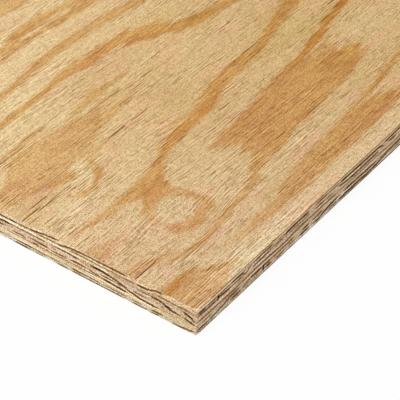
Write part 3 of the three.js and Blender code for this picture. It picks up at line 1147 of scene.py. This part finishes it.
def veneer_surface(name, colours, drawn):
    """The flat side of a veneer, with its latewood figure."""
    pale, deep, pink, light, dark = palette(colours)
    tree = Tree(bpy.data.materials.new(name))
    place = fibres = tree.place()
    if drawn:
        fibres = tree.vector("ADD", place, tree.node("CombineXYZ", {"Y": tree.attribute("drift")}))
    streak = tree.noise(fibres, (15, 0.9, 15), 11, detail=3.0, roughness=0.55)
    depth, tone = veneer_depth(tree, place, fibres, streak, drawn)
    late = tree.step(depth, -1.6, 2.2) * tone

    broad = tree.noise(place, (210, 70, 100), 15)
    tint = tree.noise(place, (32, 8, 32), 16)
    warm = 0.5 + swing(broad, 1.6)
    if drawn:
        unevenness = swing(broad, tree.blend(tree.attribute("drawn"), 1.6, 0.4))
        warm = tree.attribute("warmth") + unevenness
    warm = warm + swing(streak, 0.8)
    early = tree.mix(tree.step(tint, 0.48, 0.74) * 0.7, tree.mix(warm, pale, deep), pink)
    rim = tree.step(depth, 10.0, 1.0)
    deepness = rim * 0.20 + warm * 0.45 + swing(streak, 1.7) + swing(tint, 1.2)
    colour = tree.mix(late, early, tree.mix(deepness, light, dark))

    patchy = tree.noise(place, (42, 11, 42), 17)
    rough = tree.blend(tree.step(patchy, 0.41, 0.68), *PATCHINESS)
    if drawn:
        rough = rough * tree.attribute("rough")
    bright, height = fibre_texture(tree, fibres, rough)
    if drawn:
        # Painted shade in the splits, and the dark fibres' own colour.
        split = tree.math("MINIMUM", tree.attribute("split") * 1.7, 1.0)
        bright = bright * tree.blend(split, 1.0, SPLIT_SHADE)
    colour = tree.brighten(colour, bright)
    if drawn:
        colour = tree.tinted(colour, tree.attribute("pink") + swing(tint, 1.0), PINKENING)
        colour = tree.tinted(colour, tree.attribute("grey"), GREYING)
    return tree.finish(colour, height + late * 0.3, FACE_BUMP)


def edge_lines(tree, place, waves, seed, fibre, grit, layer):
    """The ring and glue lines, and the painted shade under the face's arris and in the open
    joint's mouth: how strong they are, and how pale the wood beside them is. Noise makes
    them, and near the corner the drawn ones take over."""
    bend = tree.noise(place, waves, seed + 3, detail=1.0)
    turns = tree.part(place, 2) * RINGS_PER_MM + bend * RING_BEND
    off = tree.math("PINGPONG", turns, 0.5)
    ring = tree.step(off + swing(fibre, 0.16), 0.17, 0.03)
    broken = tree.step(tree.noise(place, (11, 11, 0.9), seed + 4), 0.34, 0.56)
    free = tree.math("MAXIMUM", ring, tree.attribute("seam") * 0.8)
    free = free * tree.blend(broken, 0.15, 0.9)

    away = tree.attribute("line_away") + swing(grit, 0.4) + swing(layer, 0.5)
    tone = tree.attribute("line_tone")
    strong = tone * tree.blend(broken, 0.75, 1.10)
    core = tree.step(away, tree.blend(strong, 0.35, 1.10), tree.blend(strong, 0.0, 0.46))
    core = core * tree.blend(strong, 0.50, 1.0)
    drawn = tree.attribute("drawn_edge")
    line = tree.math("MAXIMUM", core, free * (1.0 - drawn))
    beside = tree.step(away, 0.8, 1.2) * tree.step(away, 2.0, 1.5) * tone
    free_beside = tree.step(off, 0.12, 0.2) * tree.step(off, 0.42, 0.28) * broken
    return line, tree.blend(drawn, free_beside, beside)


def edge_surface(name, grain, colours, seed):
    """The sawn edge of a veneer: long grain on two sides and end grain on the others."""
    side, end, light, line_colour, joint_shade_colour = palette([*colours, DARK_LINE, PAINTED_JOINT_SHADE])
    tree = Tree(bpy.data.materials.new(name))
    place = tree.place()
    along, across = (34, 1.1) if grain == 0 else (1.1, 34)
    waves = (400, 60, 400) if grain == 0 else (60, 400, 400)
    fibre = tree.noise(place, (along, across, 0.75), seed, roughness=0.6)
    hair = tree.step(tree.noise(place, (along / 2, across, 0.5), seed + 6, detail=1.0), 0.58, 0.68)
    shine = tree.step(tree.noise(place, (along / 2, across, 0.6), seed + 8, detail=1.0), 0.58, 0.70)
    layer = tree.noise(place, (24, 24, 0.95), seed + 5)
    grit = tree.noise(place, (0.8, 0.8, 0.6), seed + 1, detail=1.0)
    broad = tree.noise(place, (55, 55, 3), seed + 2)
    line, pale = edge_lines(tree, place, waves, seed, fibre, grit, layer)

    facing = tree.part(tree.node("NewGeometry", {}, "True Normal"), grain)
    end_grain = tree.step(tree.math("ABSOLUTE", facing), 0.5, 0.8)
    colour = tree.mix(end_grain, side, end)
    shade = tree.attribute("shade") + swing(broad, 1.2) + pale * 0.35
    colour = tree.mix(tree.step(shade, 0.0, 1.1), colour, light)
    shadow = tree.mix(0.30, end, line_colour)
    colour = tree.mix(tree.step(shade, 0.0, -1.1) * 0.75, colour, shadow)
    bright = 1.0 + swing(fibre, 2.0) + swing(grit, 2.6) + swing(layer, 1.2)
    bright = bright - hair * 0.45 + shine * 0.26 + pale * 0.20
    bright = tree.math("MAXIMUM", bright, DARKEST) * tree.blend(line, 1.0, LINE_SHADE)
    colour = tree.brighten(colour, bright)
    # Painted shade on the open joint's walls, from just inside its mouth.
    inside = tree.step(tree.part(place, 1) - float(CORNER[1]), 0.02, 0.3)
    colour = tree.mix(tree.attribute("joint_shade_mask") * inside, colour, joint_shade_colour)
    height = swing(fibre, 1.0) + swing(grit, 0.8) - line * 0.5
    return tree.finish(colour, height, EDGE_BUMP)


# ---- the pieces

# The flat sides that show: (kind of face, name, colours, whether the figure is drawn).
SURFACES = {
    "face_veneer": (1, "face_wood", FACE_WOOD, True),
    "back_veneer": (2, "back_wood", BACK_WOOD, False),
}


def dress_sheet():
    """Builds each veneer, in place of its CAD node."""
    for number, (node, slot, grain, colours) in enumerate(PLIES):
        piece, kinds = make_ply(node, grain, 11 * number + 2)
        mesh = piece.data
        mesh.materials.append(edge_surface(node + "_edge", grain, colours, 20 + 7 * number))
        if node in SURFACES:
            kind, *surface = SURFACES[node]
            mesh.materials.append(veneer_surface(*surface))
            mesh.polygons.foreach_set("material_index", (kinds == kind).astype(np.int32))
        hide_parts(node)
        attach(piece, "root")


# ---- the stage


def seen_directly(tree):
    """1 for rays that show the background: from the camera, mirrored or let through."""
    kinds = ("Is Camera Ray", "Is Glossy Ray", "Is Transmission Ray")
    camera, mirrored, through = [tree.node("LightPath", {}, kind) for kind in kinds]
    return tree.math("MAXIMUM", tree.math("MAXIMUM", camera, mirrored), through)


def make_floor():
    """A white floor that keeps a faint shadow of the sheet."""
    corners = [(-1, -1), (1, -1), (1, 1), (-1, 1)]
    mesh = bpy.data.meshes.new("floor")
    mesh.from_pydata([(x * FLOOR_HALF, y * FLOOR_HALF, 0) for x, y in corners], [], [(0, 1, 2, 3)])
    floor = add_object("floor", mesh)
    tree = Tree(bpy.data.materials.new("floor_white"))
    matt = tree.node("BsdfDiffuse", {"Color": FLOOR_WHITE})
    glow = tree.node("Emission", {"Color": WHITE})
    mixed = tree.node("MixShader", {0: seen_directly(tree) * FLOOR_SHOWN, 1: matt, 2: glow})
    tree.node("OutputMaterial", {"Surface": mixed})
    mesh.materials.append(tree.owner)


def make_world():
    """Even soft light all round, and plain white where the camera sees past the floor."""
    bpy.context.scene.world = bpy.data.worlds.new("studio")
    tree = Tree(bpy.context.scene.world)
    level = tree.blend(seen_directly(tree), WORLD_LEVEL, 1.0)
    background = tree.node("Background", {"Color": WHITE, "Strength": level})
    tree.node("OutputWorld", {"Surface": background})


def make_sun():
    """A broad soft lamp high over the sheet's near end."""
    light = bpy.data.lights.new("soft_lamp", "SUN")
    light.energy = SUN_LEVEL
    light.angle = SUN_SPREAD
    lamp = add_object("soft_lamp", light)
    lamp.rotation_mode = "QUATERNION"
    lamp.rotation_quaternion = Vector(SUN_FROM).to_track_quat("Z", "Y")


def make_camera():
    """The camera at the photograph's place, with its long lens."""
    data = bpy.data.cameras.new("camera")
    data.lens = LENS
    data.sensor_width = SENSOR
    data.clip_start, data.clip_end = CLIP
    camera = add_object("camera", data)
    right, up = Vector(CAMERA_RIGHT), Vector(CAMERA_UP)
    turn = Matrix((right, up, right.cross(up))).transposed().to_4x4()
    camera.matrix_world = Matrix.Translation(CAMERA_PLACE) @ turn
    bpy.context.scene.camera = camera


dress_sheet()
make_floor()
make_world()
make_sun()
make_camera()
bpy.context.scene.view_settings.view_transform = "Standard"

bpy.context.view_layer.update()
